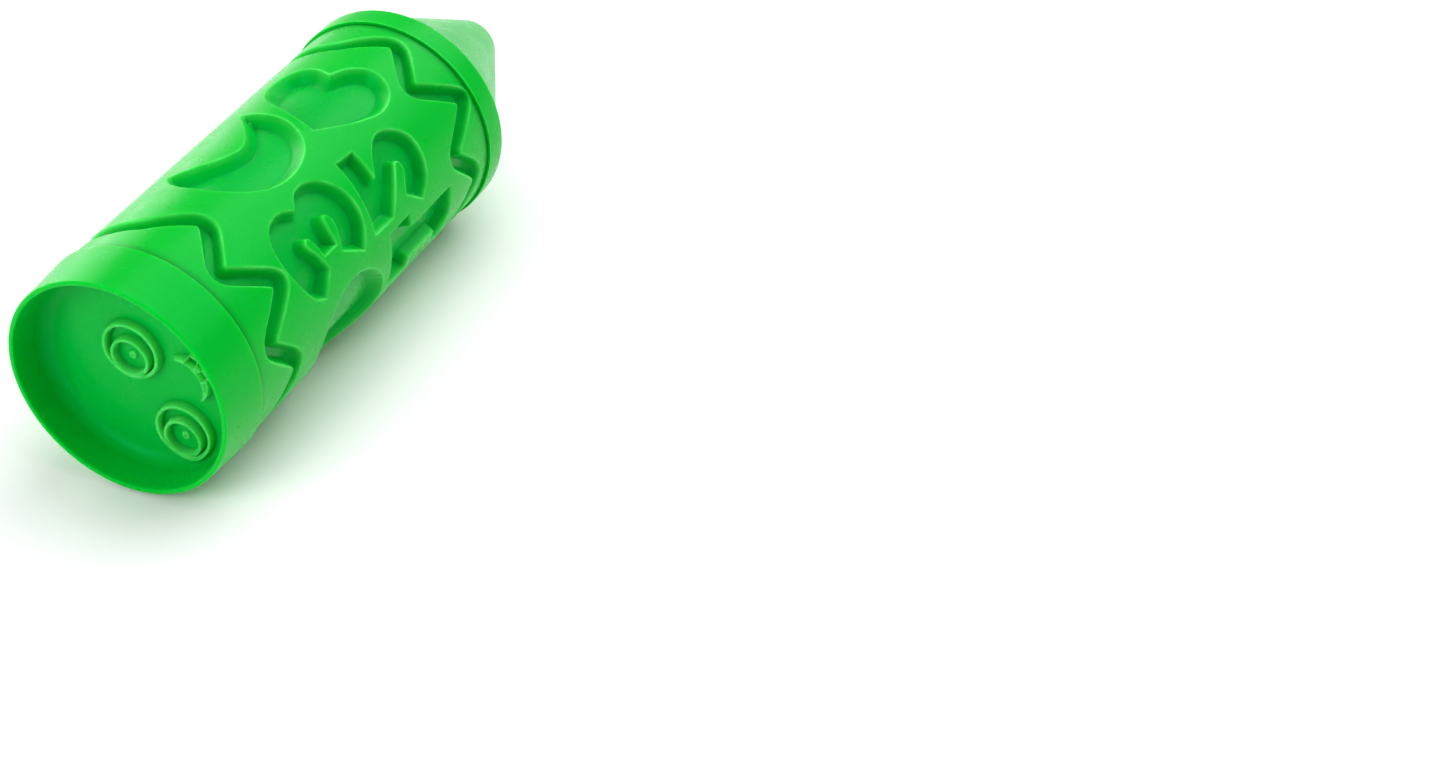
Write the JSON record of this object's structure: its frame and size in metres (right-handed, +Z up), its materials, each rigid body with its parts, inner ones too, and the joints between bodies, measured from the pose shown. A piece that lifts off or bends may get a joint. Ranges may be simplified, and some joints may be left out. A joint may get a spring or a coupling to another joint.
{
  "type": "play-sand pattern roller",
  "caption": "Crayon-shaped hollow plastic roller with letters, numerals and shapes sunk into its drum, a stamp cup at one end and a blunt cone at the other.",
  "frame": {"origin": "on the ground, under the middle of the roller's length, where its two collars rest", "axes": "+X along the roller from the stamp rim to the nose, +Y across it, +Z up"},
  "size_m": [0.181, 0.0616, 0.0616],
  "materials": {
    "green_plastic": "glossy, faintly translucent"
  },
  "bodies": {
    "roller": {"drum": "green_plastic", "stamp_cap": "green_plastic"},
    "nose": {"nose_cap": "green_plastic"}
  },
  "joints": [
    {"name": "nose_pull", "type": "slide", "parent": "roller", "child": "nose", "axis": [1, 0, 0], "range_m": [0, 0.018]}
  ]
}
